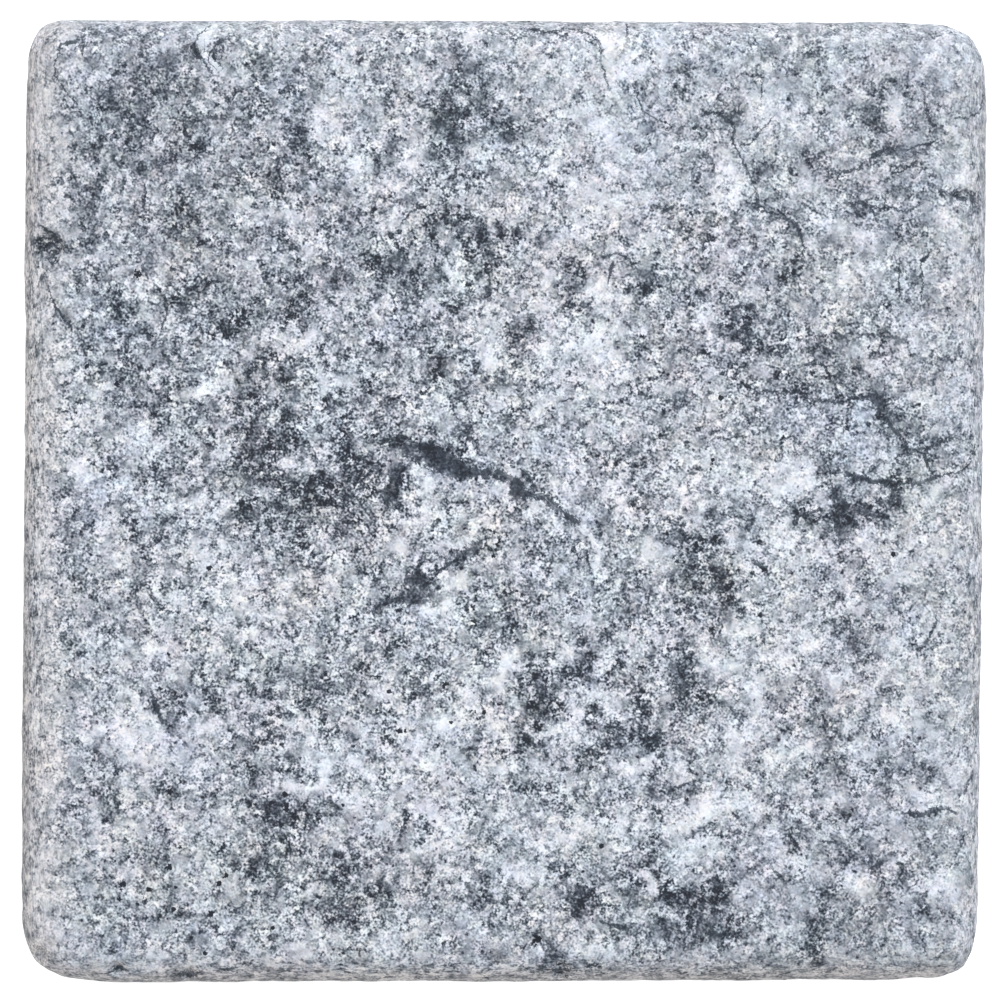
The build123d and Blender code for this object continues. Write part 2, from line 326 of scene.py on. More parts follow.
# Flakes and clumps of the same slate, mixed with grain
FLAKES = [
    # Round the main vein
    [(564, 514, 5), (572, 520, 7), (580, 521, 4)],
    [(372, 467, 6), (381, 473, 4)],
    [(398, 470, 6), (395, 482, 9), (391, 495, 9), (388, 504, 3)],
    [(482, 541, 6), (474, 548, 9), (465, 556, 8), (456, 560, 5)],
    [(424, 575, 11), (417, 584, 15), (419, 593, 14), (411, 599, 9), (398, 601, 5)],
    # Near the right edge
    [(838, 497, 6), (842, 509, 10), (843, 522, 14), (842, 534, 11), (841, 542, 5)],
    [(872, 396, 5), (884, 405, 10), (886, 416, 6)],
    [(894, 486, 5), (894, 500, 7)],
    [(856, 512, 3), (866, 514, 5), (884, 517, 3)],
    # Single ones
    [(683, 680, 6), (682, 693, 9)],
    [(648, 738, 7), (660, 738, 9)],
    [(446, 110, 5), (458, 113, 8)],
    [(745, 322, 6), (747, 338, 8)],
]

# Dark seams, thinner than the bands
SEAMS = [
    [(412, 445, 5), (422, 446, 7), (432, 444, 5)],
    [(448, 439, 2), (456, 435, 4), (466, 436, 5), (473, 441, 4), (480, 450, 3)],
    [(519, 469, 2), (524, 474, 3), (530, 480, 4), (533, 487, 4)],
    [(350, 458, 3), (362, 460, 4), (370, 465, 4)],
    [(420, 560, 2), (424, 554, 2), (433, 551, 2), (440, 556, 2), (446, 562, 3)],
    [(398, 601, 4), (387, 603, 3.5), (377, 606, 3), (370, 612, 2)],
    [(757, 394, 2.5), (769, 391, 2.5), (786, 392, 3), (799, 393, 3), (805, 399, 3), (820, 402, 2.5),
     (831, 401, 2.5), (844, 401, 2), (855, 398, 4), (868, 397, 4)],
    [(883, 416, 4), (893, 428, 3.5), (903, 436, 3), (906, 444, 3), (910, 451, 4), (924, 449, 4),
     (938, 444, 3), (952, 439, 2.5), (964, 437, 2)],
    [(848, 474, 3), (868, 480, 4), (888, 482, 4), (907, 484, 3.5), (920, 484, 4), (931, 479, 3),
     (946, 475, 2.5), (960, 472, 2), (968, 464, 1.5), (977, 446, 1.5)],
    [(794, 527, 2), (798, 514, 2.5), (809, 514, 3), (822, 510, 3)],
    [(826, 170, 1.5), (836, 172, 2), (846, 172, 2.5), (856, 171, 2), (867, 163, 2.5), (874, 155, 3.5),
     (885, 151, 3), (896, 148, 2.5)],
    [(934, 127, 2), (929, 120, 3), (926, 110, 3), (925, 95, 1.5)],
    [(848, 204, 2), (858, 202, 3.5), (866, 206, 3), (880, 209, 2.5), (895, 209, 2), (910, 211, 2.5),
     (921, 203, 1.5)],
    [(952, 196, 3), (966, 199, 4)],
    [(704, 112, 2), (716, 114, 2), (727, 117, 3), (738, 112, 3), (739, 106, 2)],
    [(758, 211, 2), (771, 215, 2.5), (787, 218, 3), (796, 226, 3), (801, 235, 2.5), (805, 247, 2),
     (803, 257, 1.5)],
    [(906, 813, 2.5), (925, 815, 4), (943, 808, 4), (957, 812, 2.5)],
    [(664, 211, 4), (674, 205, 3)],
    [(707, 934, 4), (722, 934, 3), (742, 932, 3)],
    [(600, 921, 2), (612, 925, 3), (626, 927, 4)],
    [(870, 868, 2), (880, 862, 4)],
]

# Open hairline cracks, and the painted shade in chips of the rims
CRACKS_AND_CHIP_SHADE = [
    [(382, 440, 4), (394, 437, 6), (404, 437, 4), (411, 440, 2)],
    [(560, 507, 2), (566, 515, 4), (575, 521, 4), (581, 520, 2)],
    [(388, 504, 1.5), (385, 514, 1.5), (384, 523, 2), (391, 534, 1.5)],
    [(456, 560, 3), (447, 566, 3), (438, 572, 3), (428, 574, 3)],
    [(912, 455, 2.5), (905, 454, 2), (898, 456, 2), (899, 462, 2), (909, 466, 2)],
    [(925, 453, 3), (926, 461, 4), (931, 472, 2.5)],
    [(823, 458, 1.2), (831, 479, 1.2), (834, 493, 2)],
    [(803, 366, 2.5), (815, 364, 2.5), (824, 367, 2.5), (831, 378, 3), (837, 389, 2)],
    [(906, 150, 2), (918, 148, 2.5), (928, 145, 3), (934, 141, 1.5)],
    [(893, 174, 2), (904, 168, 2), (918, 161, 2.5)],
    [(733, 121, 2), (736, 129, 3), (732, 139, 3), (736, 148, 2), (742, 160, 2), (748, 172, 2.5),
     (753, 184, 2), (757, 197, 2), (758, 208, 2.5)],
    [(743, 145, 1.5), (753, 142, 1.5), (762, 130, 1.5), (771, 118, 1)],
    [(761, 78, 1.2), (761, 97, 1.2)],
    [(632, 85, 1.2), (639, 103, 1.5), (644, 112, 1.5), (655, 117, 1.2), (671, 127, 1.2)],
    [(528, 30, 2.5), (550, 32, 2), (568, 29, 1.5), (582, 32, 1.5), (595, 39, 1.5)],
    [(598, 41, 1.5), (601, 57, 1.5), (604, 78, 1.5), (607, 85, 1)],
    [(628, 25, 2), (630, 34, 2)],
    [(536, 172, 2), (543, 158, 3)],
    [(400, 225, 1.5), (412, 213, 2), (432, 204, 2)],
    [(602, 257, 2), (618, 255, 2), (637, 264, 2)],
    [(613, 264, 3), (607, 282, 2)],
    [(572, 385, 2), (584, 383, 2)],
    [(562, 402, 2), (572, 398, 2)],
    [(899, 258, 1.5), (899, 280, 2), (899, 300, 1.5)],
    [(931, 251, 1.5), (924, 260, 2.5), (922, 268, 1.5), (922, 300, 1.2)],
    [(941, 190, 3), (944, 196, 2)],
    [(957, 119, 1.5), (968, 117, 1.5), (978, 112, 1.5), (984, 95, 1)],
    [(936, 614, 2), (932, 632, 2), (918, 651, 2)],
    [(570, 547, 1.5), (582, 560, 1.2)],
    [(588, 552, 2), (590, 563, 2), (594, 574, 1.5)],
    [(755, 562, 3), (766, 570, 3)],
    [(44, 273, 1), (53, 300, 1.5), (60, 310, 3), (67, 323, 3), (71, 331, 1)],
    [(78, 40, 2.5), (68, 42, 3.5), (60, 48, 3), (56, 60, 1.5), (57, 74, 1.5), (65, 89, 1.5), (76, 101, 1.5)],
    [(83, 37, 2), (83, 60, 1)],
    [(209, 25, 1.5), (200, 33, 2), (195, 40, 2), (192, 47, 5), (196, 55, 4), (202, 62, 2), (212, 72, 1.5)],
    [(230, 37, 1.5), (221, 40, 2), (214, 46, 2.5), (212, 54, 2.5), (215, 61, 2.5), (222, 67, 1.5)],
    [(152, 694, 2), (156, 707, 4), (163, 721, 3)],
    [(482, 697, 2), (483, 714, 2)],
    [(651, 774, 2), (654, 781, 2)],
    [(670, 791, 2.5), (680, 786, 3), (691, 783, 2)],
    [(790, 836, 2), (796, 841, 4), (801, 846, 3)],
    [(772, 869, 2), (780, 876, 4)],
    [(822, 842, 2), (836, 843, 2)],
    [(737, 812, 2), (739, 819, 2.5)],
    [(724, 797, 1.5), (730, 798, 2)],
    [(142, 183, 1), (146, 191, 2.5), (145, 200, 3)],
    [(165, 300, 1.5), (166, 312, 2.5), (163, 328, 1.5)],
    [(966, 792, 3), (973, 778, 2)],
    # Painted shadows in the chips of the near rim
    [(111, 971, 2), (117, 967, 4), (125, 970, 3)],
    [(177, 975, 2), (188, 975, 5), (201, 973, 3)],
    [(224, 969, 2), (233, 969, 4)],
    [(547, 969, 1.5), (556, 971, 3), (566, 971, 2.5), (576, 969, 1.5)],
    [(549, 957, 2), (555, 957, 4), (563, 960, 2)],
    [(584, 966, 1.5), (592, 964, 3), (599, 963, 1.5)],
    # Painted shade in the large chip in the left rim
    [(41, 227, 2), (46, 230, 3), (56, 234, 3)],
    [(53, 235, 3), (60, 239, 4), (56, 243, 3)],
    [(47, 249, 3), (51, 244, 4), (55, 245, 3)],
    [(50, 256, 3), (56, 254, 4), (61, 250, 3)],
    [(48, 258, 2), (53, 264, 3)],
]

# Pale shells and healed cracks
PALE_LINES = [
    [(213, 25, 9), (205, 35, 9), (202, 45, 6), (205, 55, 6), (211, 63, 6), (222, 72, 5)],
    [(507, 467, 6), (517, 473, 7)],
    [(579, 525, 2), (588, 535, 4), (594, 545, 3.5), (600, 554, 3)],
]

# Each set of lines, its breadth against the widths given, and how far its marks are kept beside a line
# in the picture's points: full, and gone
LINE_SETS = {
    "slate_bands": (SLATE_BANDS, 1.35, 12.0, 20.0),
    "flakes": (FLAKES, 1.5, 12.0, 20.0),
    "seams": (SEAMS, 1.2, 6.0, 12.0),
    "pale_lines": (PALE_LINES, 1.1, 8.0, 14.0),
    "cracks_and_chip_shade": (CRACKS_AND_CHIP_SHADE, 1.1, 5.0, 10.0),
}

# How far past its end a line still shows, in the picture's points
LINE_END_FADE = 4.0

# How the clouds and the lines are made ragged: size of the waves and how far they push, in the picture's
# points. The seed fixes them, so that each run gives the same stone.
STIR_SEED = 18
CLOUD_STIRS = [(26, 14), (10, 10)]
LINE_STIR = (22, 3)

# Lift of the tone beside each edge, partly pale dust of wear and partly painted light: how far in it reaches
# in the picture's points, and the tone steps it lifts. It is full over this share of its reach, and fades
# again beside the outline itself.
RIM_DUST_AND_LIGHT = {"left": (52, 0.5), "right": (62, 0.2), "far": (20, 0.0), "near": (40, 0.4)}
RIM_LIFT_CORE = 0.6
RIM_LIFT_OUTLINE_FADE = (1, 9)

# How far in from each edge the rim is streaked, in the picture's points, and the share of that which is full
STREAK_REACHES = {"left": 34, "right": 28, "far": 9, "near": 30}
STREAK_CORE = 0.4

# How steeply the skin rises from the sides to the show face, and where it counts as rolled over
SHOW_RISES = (-0.1, 0.4)
ROLL_RISES = (0.99, 0.45)

# A warm tint lies on the rolled rims, partly dust and partly painted shade: less of it where they turn to
# the far side or the right, into the panel's light. It also lies over the left rim, from none to full
# between these two places across the picture.
SIDE_TURNS = (0.1, 0.5)
FAR_LIT_UNTINTED = 0.8
RIGHT_LIT_UNTINTED = 0.85
LEFT_TINT_ACROSS = (85, 40)
LEFT_TINT_SHARE = 0.55

# How far in from the outline the skin is worn smooth, none to full, in the picture's points
WORN_STEPS = (14, 3)

# Where the grain is liveliest, how much livelier it is there, and how much of it is gone this far away
LIVELY_POINT = (447, 540)
LIVELY_GAIN = 0.1
QUIET_SHARE = 0.25
QUIET_REACH = 500

# Small open pits, painted dark as the shade in their hollows: place in the picture and width there. Their
# marks are kept this far past their rims.
PIT_MARGIN = 8
PITS = [
    (86, 366, 5), (117, 385, 5), (209, 568, 4), (205, 602, 4), (169, 654, 4), (170, 792, 5), (169, 867, 5),
    (149, 890, 4), (211, 914, 5), (205, 953, 4), (273, 928, 4), (285, 794, 4), (343, 805, 4), (122, 884, 5),
    (444, 685, 6), (389, 692, 4), (399, 731, 4), (404, 731, 4), (601, 846, 5), (536, 940, 9), (377, 710, 4),
    (893, 554, 4), (720, 398, 4), (711, 469, 3), (713, 460, 3), (764, 570, 4), (460, 480, 3),
    (493, 556, 4), (138, 275, 7), (471, 711, 3), (451, 723, 3), (484, 712, 4), (138, 904, 3), (174, 909, 4),
    (176, 887, 3), (220, 883, 4), (119, 899, 4), (226, 875, 3), (115, 861, 3),
]


def select_where(piece, kind, chosen):
    """In edit mode, selects only those vertices, edges or faces for which chosen says yes."""
    bpy.ops.mesh.select_mode(type=kind)
    bpy.ops.mesh.select_all(action="DESELECT")
    shape = bmesh.from_edit_mesh(piece.data)
    elements = {"VERT": shape.verts, "EDGE": shape.edges, "FACE": shape.faces}[kind]
    for element in elements:
        element.select_set(chosen(element))
    shape.select_flush_mode()
    bmesh.update_edit_mesh(piece.data)


def apply_modifier(piece, kind, **settings):
    """Adds one modifier with its settings and applies it."""
    modifier = piece.modifiers.new(kind.lower(), kind)
    for name, value in settings.items():
        setattr(modifier, name, value)
    bpy.ops.object.modifier_apply(modifier=modifier.name)


def vertex_places(piece):
    """The places of the piece's vertices, one row each, in metres."""
    places = np.empty(len(piece.data.vertices) * 3, np.float32)
    piece.data.vertices.foreach_get("co", places)
    return places.reshape(-1, 3).astype(float)


def move_vertices(piece, places):
    """Puts the piece's vertices at these places, one row each, in metres."""
    piece.data.vertices.foreach_set("co", places.astype(np.float32).ravel())
    piece.data.update()


def vertex_normals(piece):
    """The outward direction at each of the piece's vertices, one row each."""
    normals = np.empty(len(piece.data.vertices) * 3, np.float32)
    piece.data.vertex_normals.foreach_get("vector", normals)
    return normals.reshape(-1, 3).astype(float)


def smooth_share(values, none_at, all_at):
    """0 at none_at and 1 at all_at, with a soft start and end between them."""
    share = np.clip((values - none_at) / (all_at - none_at), 0, 1)
    return share * share * (3 - 2 * share)


def soft_brush(apart, reach):
    """How much of a soft brush is left this far from its middle."""
    return np.exp(-BRUSH_FADE * (apart / reach) ** 2)


def picture_points(places):
    """Where the camera sees these places: how far across and down the picture, in its points."""
    nearness = CAMERA_DISTANCE / (OUTLINE_LEVEL + CAMERA_DISTANCE - places[:, 2])
    scale = POINTS_PER_MM / MM * nearness
    across = PICTURE_WIDTH / 2 + (places[:, 0] - AIM_X) * scale
    down = PICTURE_HEIGHT / 2 - (places[:, 1] - AIM_Y) * scale
    return across, down


# The tile's block
def saw_blank():
    """A cube at the tile's size, with its upright edges moved to the corners of the sawn blank."""
    bpy.ops.object.select_all(action="DESELECT")
    middle = (tile_low + tile_high) / 2
    bpy.ops.mesh.primitive_cube_add(size=1, location=middle)
    blank = bpy.context.object
    blank.name = "tumbled_tile"
    blank.dimensions = tile_high - tile_low
    bpy.ops.object.transform_apply(location=True, rotation=False, scale=True)
    bpy.ops.object.mode_set(mode="EDIT")
    for (corner_x, corner_y), _ in BLANK_CORNERS.values():
        side_x = corner_x > 0
        side_y = corner_y > 0
        select_where(blank, "VERT", lambda v: (v.co.x > 0) == side_x and (v.co.y > 0) == side_y)
        now_x = tile_high.x if side_x else tile_low.x
        now_y = tile_high.y if side_y else tile_low.y
        shift = (corner_x * MM - now_x, corner_y * MM - now_y, 0)
        bpy.ops.transform.translate(value=shift)
    return blank


def round_edges(blank):
    """Rounds the four upright edges, each by its own wear, then rolls the show and back edges over."""
    nearly = 0.01 * MM
    for (corner_x, corner_y), wear in BLANK_CORNERS.values():
        place_now = Vector((corner_x * MM, corner_y * MM))

        def at_corner(edge):
            return all((v.co.xy - place_now).length < nearly for v in edge.verts)

        select_where(blank, "EDGE", at_corner)
        bpy.ops.mesh.bevel(offset=wear * MM, segments=ROUNDING_STEPS, affect="EDGES")
    for level, roll in ((tile_high.z, SHOW_ROLL_MM), (tile_low.z, BACK_ROLL_MM)):
        select_where(blank, "EDGE", lambda e: all(abs(v.co.z - level) < nearly for v in e.verts))
        bpy.ops.mesh.bevel(offset=roll * MM, segments=ROUNDING_STEPS, affect="EDGES")
    bpy.ops.object.mode_set(mode="OBJECT")
    places = vertex_places(blank)
    box_middle = Vector((places.min(0) + places.max(0)) / 2)
    blank.data.transform(Matrix.Translation((tile_low + tile_high) / 2 - box_middle))


def mark_wear(tile):
    """Weighs the skin for wear: the rolled rims and sides, the show face, and nothing of the sawn back."""
    rise = vertex_normals(tile)[:, 2]
    places = vertex_places(tile)
    off_back = smooth_share(places[:, 2] / MM, *WEAR_HEIGHTS_MM)
    across, down = picture_points(places)
    chipped = np.zeros(len(places))
    for chip_x, chip_y, reach in CHIPS:
        apart = np.hypot(across - chip_x, down - chip_y)
        chipped = np.maximum(chipped, smooth_share(apart, reach + CHIP_FADE, reach * CHIP_CORE))
    weights = {
        "rim": smooth_share(rise, *RIM_RISES) * off_back,
        "face": smooth_share(rise, *FACE_RISES),
        "chips": chipped * smooth_share(rise, *CHIP_RISES),
    }
    for name, shares in weights.items():
        group = tile.vertex_groups.new(name=name)
        for index in np.nonzero(shares > 0)[0]:
            group.add([int(index)], float(shares[index]), "REPLACE")


def knock_corners(tile):
    """Pushes the rim out or in at each knock, away from the tile's middle or towards it."""
    places = vertex_places(tile)
    across, down = picture_points(places)
    outward = places[:, :2] / np.linalg.norm(places[:, :2], axis=1, keepdims=True)
    for knock_x, knock_y, reach, push_mm in CORNER_KNOCKS:
        apart = np.hypot(across - knock_x, down - knock_y)
        push = push_mm * MM * soft_brush(apart, reach)
        places[:, :2] += outward * push[:, None]
    move_vertices(tile, places)


def wear_down(tile):
    """Dents and chips the skin pass by pass, then takes off what would stand proud of the sawn block."""
    for number, (part, size, depth, outward) in enumerate(WEAR_PASSES):
        dents = bpy.data.textures.new(f"dents_{number}", "CLOUDS")
        dents.noise_scale = size * MM
        dents.noise_depth = 2
        apply_modifier(tile, "DISPLACE", texture=dents, texture_coords="LOCAL", vertex_group=part,
                       strength=depth * MM, mid_level=1 - outward)
    move_vertices(tile, np.clip(vertex_places(tile), np.array(tile_low), np.array(tile_high)))
    tile.vertex_groups.clear()


def thin_back(tile):
    """Leaves fewer faces on the flat sawn back, which needs no fine ones."""
    nearly = 0.02 * MM
    bpy.ops.object.mode_set(mode="EDIT")
    select_where(tile, "FACE", lambda f: all(v.co.z < tile_low.z + nearly for v in f.verts))
    bpy.ops.mesh.decimate(ratio=BACK_SHARE)
    bpy.ops.object.mode_set(mode="OBJECT")


# The stone's figure, kept at the vertices
def stroke_distance(across, down, start, end):
    """How far these points are from a straight stroke, and how far along it, from 0 to 1."""
    run_x = end[0] - start[0]
    run_y = end[1] - start[1]
    length = np.hypot(run_x, run_y)
    along = np.zeros(len(across))
    if length > 0:
        along = np.clip(((across - start[0]) * run_x + (down - start[1]) * run_y) / length ** 2, 0, 1)
    apart = np.hypot(across - start[0] - along * run_x, down - start[1] - along * run_y)
    return apart, along


def stirred(across, down, wave, reach):
    """These points, each pushed aside by a smooth chance amount, so that what is drawn there gets ragged."""
    pushes = np.array([noise.noise_vector((x / wave, y / wave, wave)) for x, y in zip(across, down)])
    return across + reach * pushes[:, 0], down + reach * pushes[:, 1]


def cloud_tone(across, down):
    """How far the drifts and clouds lift or darken the stone at these points, in tone steps."""
    tone = np.zeros(len(across))
    for *ends, reach, step in DRIFTS + CLOUDS:
        start, end = ends[:2], ends[-2:]
        edge = BRUSH_END * reach
        near = ((across > min(start[0], end[0]) - edge) & (across < max(start[0], end[0]) + edge)
                & (down > min(start[1], end[1]) - edge) & (down < max(start[1], end[1]) + edge))
        apart, _ = stroke_distance(across[near], down[near], start, end)
        tone[near] += CLOUD_STRENGTH * step * soft_brush(apart, reach)
    return CLOUD_LIMIT * np.tanh(tone / CLOUD_LIMIT)


def rounded_line(points, steps=5):
    """The line through these points with its bends rounded; each point's width runs along with it."""
    points = np.array(points, float)
    before = np.vstack([2 * points[0] - points[1], points[:-1]])
    after = np.vstack([points[1:], 2 * points[-1] - points[-2]])
    slope = (after - before) / 2
    share = np.linspace(0, 1, steps, endpoint=False)[:, None]
    from_here = 2 * share ** 3 - 3 * share ** 2 + 1
    from_leaving = share ** 3 - 2 * share ** 2 + share
    from_there = 3 * share ** 2 - 2 * share ** 3
    from_coming = share ** 3 - share ** 2
    spans = []
    for here, there, leaving, coming in zip(points[:-1], points[1:], slope[:-1], slope[1:]):
        spans.append(from_here * here + from_leaving * leaving + from_there * there + from_coming * coming)
    return np.vstack(spans + [points[-1:]])


def line_marks(across, down, lines, breadth, kept_to, gone_at):
    """For each point how far it is beside the nearest line, the half width there, and how much it shows."""
    marks = np.zeros((len(across), 3))
    nearest = np.full(len(across), gone_at)
    for line in lines:
        path = rounded_line(line)
        low = path.min(0) - gone_at
        high = path.max(0) + gone_at
        near = np.nonzero((across > low[0]) & (across < high[0]) & (down > low[1]) & (down < high[1]))[0]
        for start, end in zip(path[:-1], path[1:]):
            apart, along = stroke_distance(across[near], down[near], start, end)
            closer = apart < nearest[near]
            found = near[closer]
            run = (end - start)[:2] / np.hypot(*(end - start)[:2])
            side = run[0] * (down[found] - start[1]) - run[1] * (across[found] - start[0])
            beyond = np.sqrt(np.maximum(apart[closer] ** 2 - side ** 2, 0))
            shows = smooth_share(np.abs(side), gone_at, kept_to) * smooth_share(beyond, LINE_END_FADE, 0.0)
            half_width = breadth * (start[2] + along[closer] * (end[2] - start[2])) / 2
            marks[found] = np.column_stack([side, half_width, shows])
            nearest[found] = apart[closer]
    marks[:, :2] /= POINTS_PER_MM
    return marks


def pit_marks(across, down):
    """For each point the step to the nearest pit's middle, and that pit's radius where it is near."""
    marks = np.zeros((len(across), 3))
    nearest = np.full(len(across), np.inf)
    for pit_x, pit_y, width in PITS:
        apart = np.hypot(across - pit_x, down - pit_y)
        reach = width / 2 + PIT_MARGIN
        closer = (apart < reach) & (apart < nearest)
        marks[closer] = np.column_stack([(across - pit_x)[closer], (down - pit_y)[closer],
                                         np.full(closer.sum(), width / 2)])
        nearest[closer] = apart[closer]
    return marks / POINTS_PER_MM


def edge_steps(across, down):
    """How far each point is inside the tile's left, right, far and near edge, in the picture's points."""
    return np.array([across - across.min(), across.max() - across, down - down.min(), down.max() - down])


def rim_dust_and_light(across, down):
    """How far pale dust of wear and painted light lift the tone beside each edge, in tone steps."""
    steps = edge_steps(across, down)
    lift = np.zeros(len(across))
    for step, (reach, amount) in zip(steps, RIM_DUST_AND_LIGHT.values()):
        lift = np.maximum(lift, amount * smooth_share(step, reach, RIM_LIFT_CORE * reach))
    return lift * smooth_share(steps.min(0), *RIM_LIFT_OUTLINE_FADE)


def streak_marks(across, down):
    """How far streaks cover the grain, 1 where they run down the picture, and how quiet the grain is."""
    shares = []
    for step, reach in zip(edge_steps(across, down), STREAK_REACHES.values()):
        shares.append(smooth_share(step, reach, STREAK_CORE * reach))
    beside = np.maximum(shares[0], shares[1])
    before = np.maximum(shares[2], shares[3])
    away = np.hypot(across - LIVELY_POINT[0], down - LIVELY_POINT[1]) / QUIET_REACH
    quiet = QUIET_SHARE * away ** 2 - LIVELY_GAIN
    return np.column_stack([np.maximum(beside, before), beside > before, quiet])


def skin_marks(tile, across, down):
    """At each vertex how worn the skin is, how much warm tint of dust and painted shade it takes, and how
    far it belongs to the show face.
    """
    normals = vertex_normals(tile)
    front = smooth_share(normals[:, 2], *SHOW_RISES)
    rolled = smooth_share(normals[:, 2], *ROLL_RISES)
    left_tint = smooth_share(across, *LEFT_TINT_ACROSS) * LEFT_TINT_SHARE
    worn = smooth_share(edge_steps(across, down).min(0), *WORN_STEPS) * front
    far_side = smooth_share(normals[:, 1], *SIDE_TURNS)
    right_side = smooth_share(normals[:, 0], *SIDE_TURNS)
    dust_and_shade = np.maximum(rolled * (1 - FAR_LIT_UNTINTED * far_side) * (1 - RIGHT_LIT_UNTINTED * right_side), left_tint)
    return np.column_stack([worn, dust_and_shade, front])


def keep_marks(tile, name, values):
    """Keeps one number or one row of three at each vertex, under this name."""
    kind = "FLOAT" if values.ndim == 1 else "FLOAT_VECTOR"
    layer = tile.data.attributes.new(name, kind, "POINT")
    layer.data.foreach_set("value" if kind == "FLOAT" else "vector", values.astype(np.float32).ravel())


def draw_figure(tile):
    """Keeps the stone's clouds, veins, cracks, pits and wear, with the painted light and shade of its rims,
    chips and pits, at the tile's vertices.
    """
    across, down = picture_points(vertex_places(tile))
    skin = skin_marks(tile, across, down)
    front = skin[:, 2]
    keep_marks(tile, "skin", skin)
    streaks = streak_marks(across, down)
    keep_marks(tile, "streaks", streaks * front[:, None])
    noise.seed_set(STIR_SEED)
    cloud_points = (across, down)
    for wave, reach in CLOUD_STIRS:
        cloud_points = stirred(*cloud_points, wave, reach)
    clouds = cloud_tone(*cloud_points)
    # The clouds are kept together with the lift beside the edges, partly pale dust and partly painted light
    keep_marks(tile, "clouds", (clouds + rim_dust_and_light(across, down)) * front)
    line_points = stirred(across, down, *LINE_STIR)
    for name, line_set in LINE_SETS.items():
        marks = line_marks(*line_points, *line_set)
        marks[:, 2] *= front
        keep_marks(tile, name, marks)
    pits = pit_marks(across, down)
    pits[:, 2] *= front
    keep_marks(tile, "pits", pits)


def build_tile():
    """The whole tile as one worn block of stone."""
    tile = saw_blank()
    round_edges(tile)
    apply_modifier(tile, "REMESH", mode="VOXEL", voxel_size=SKIN_STEP_MM * MM)
    mark_wear(tile)
    knock_corners(tile)
    wear_down(tile)
    thin_back(tile)
    bpy.ops.object.shade_smooth()
    draw_figure(tile)
    return tile


# Finishes
def place(tree, kind, inputs=None, **settings):
    """A node of this kind, with its settings made and each input linked or given its value."""
    node = tree.nodes.new(kind)
    for name, value in settings.items():
        setattr(node, name, value)
    for name, value in (inputs or {}).items():
        socket = node.inputs[name]
        if isinstance(value, bpy.types.NodeSocket):
            tree.links.new(value, socket)
        else:
            socket.default_value = value
    return node


def maths(tree, operation, *values):
    """The result of one sum on sockets or numbers."""
    return place(tree, "ShaderNodeMath", dict(enumerate(values)), operation=operation).outputs[0]


def soft_step(tree, value, none_at, all_at):
    """0 where the value is at none_at and 1 where it is at all_at, soft between them."""
    node = place(tree, "ShaderNodeMapRange", {"Value": value, "From Min": none_at, "From Max": all_at},
                 interpolation_type="SMOOTHSTEP")
    return node.outputs["Result"]


def mixed(tree, share, one, other):
    """One number where the share is 0, the other where it is 1."""
    node = place(tree, "ShaderNodeMix", {0: share, 2: one, 3: other})
    return node.outputs[0]


def new_material(name):
    """A material of this name with no nodes in it yet."""
    material = bpy.data.materials.new(name)
    material.use_nodes = True
    material.node_tree.nodes.clear()
    return material


# Tone of the stone from its darkest to its palest crystals: how many steps from the middle, and the colour.
# The scale reaches this many steps each way.
STONE_TONES = [
    (-3.2, (26, 31, 41)),
    (-2.33, (56, 64, 75)),
    (-1.65, (84, 92, 103)),
    (-1.28, (103, 110, 121)),
    (-0.67, (136, 143, 154)),
    (0.0, (170, 176, 186)),
    (0.67, (200, 205, 215)),
    (1.28, (219, 223, 232)),
    (1.65, (229, 232, 240)),
    (2.33, (242, 245, 252)),
    (3.2, (252, 253, 255)),
]
TONE_REACH = 4.0

# Chance patterns in the stone: where each one starts, so that no two are alike, its size in millimetres, how
# many finer layers it has, and how far it is stirred
PATTERNS = {
    "fine": (11.3, 0.60, 1.0, 0.5),
    "finest": (37.3, 0.24, 0.0, 0.0),
    "clots": (61.3, 2.4, 2.0, 0.6),
    "busy": (131.9, 2.0, 1.0, 0.0),
    "ragged": (151.7, 0.7, 2.0, 0.5),
    "broken": (171.3, 1.8, 1.0, 0.0),
    "relief": (251.9, 0.5, 1.0, 0.0),
    "unseen_clouds": (271.3, 9.0, 2.0, 0.0),
}

# How far a pattern's start shifts it along each axis and turns it about each, and how it is turned anyway
START_SHIFTS = (1.0, 0.7, 1.3)
START_TURNS = (1.0, 0.0, 1.0)
BASE_TURNS = (0.6, 0.4, 0.9)

# Strength of the grain in tone steps. On the sides and the back the unseen clouds take the place of the
# drawn ones.
FINE_STEPS = 3.2
FINEST_STEPS = 4.6
CLOT_STEPS = 3.9
UNSEEN_CLOUD_STEPS = 5.0

# Crystals with edges of their own: where they start, size and raggedness in millimetres, and the tone steps
# between them. Their edges are frayed by waves, this many to a crystal.
SMALL_CRYSTALS = (91.1, 0.52, 0.22)
SMALL_CRYSTAL_STEPS = 2.2
LARGE_CRYSTALS = (111.7, 1.5, 0.45)
LARGE_CRYSTAL_STEPS = 1.2
WAVES_PER_CRYSTAL = 2.5

# Small crystals that stand out as specks: their share and tone steps, dark and bright, their width in
# millimetres, and the share of it that is full
DARK_SPECKS = (0.10, -2.4)
BRIGHT_SPECKS = (0.08, 1.6)
SPECK_MM = 0.42
SPECK_CORE = 0.4

# How busy the fine grain is: how far that swings from place to place, what a tone step of the clouds adds,
# and the least that is left
BUSY_SWING = 3.0
BUSY_CLOUD_SHARE = -0.15
LEAST_BUSY = 0.3

# Streaks drawn along the rims by the drum: width in millimetres, how they are squeezed along and across,
# strength in tone steps, and how much of the grain they take off
STREAK_MM = 0.95
STREAK_ALONG = 0.55
STREAK_ACROSS = 2.0
STREAK_STEPS = 8.5
STREAK_CALM = 0.25

# Thin dark lines between the streaks: tone steps, the streaks' height where they lie, and their width in it
STREAK_LINE_STEPS = -1.0
STREAK_LINE_HEIGHT = -0.04
STREAK_LINE_WIDTH = 0.035

# How much of its contrast the stone loses where it is worn smooth
WORN_CALM = 0.25

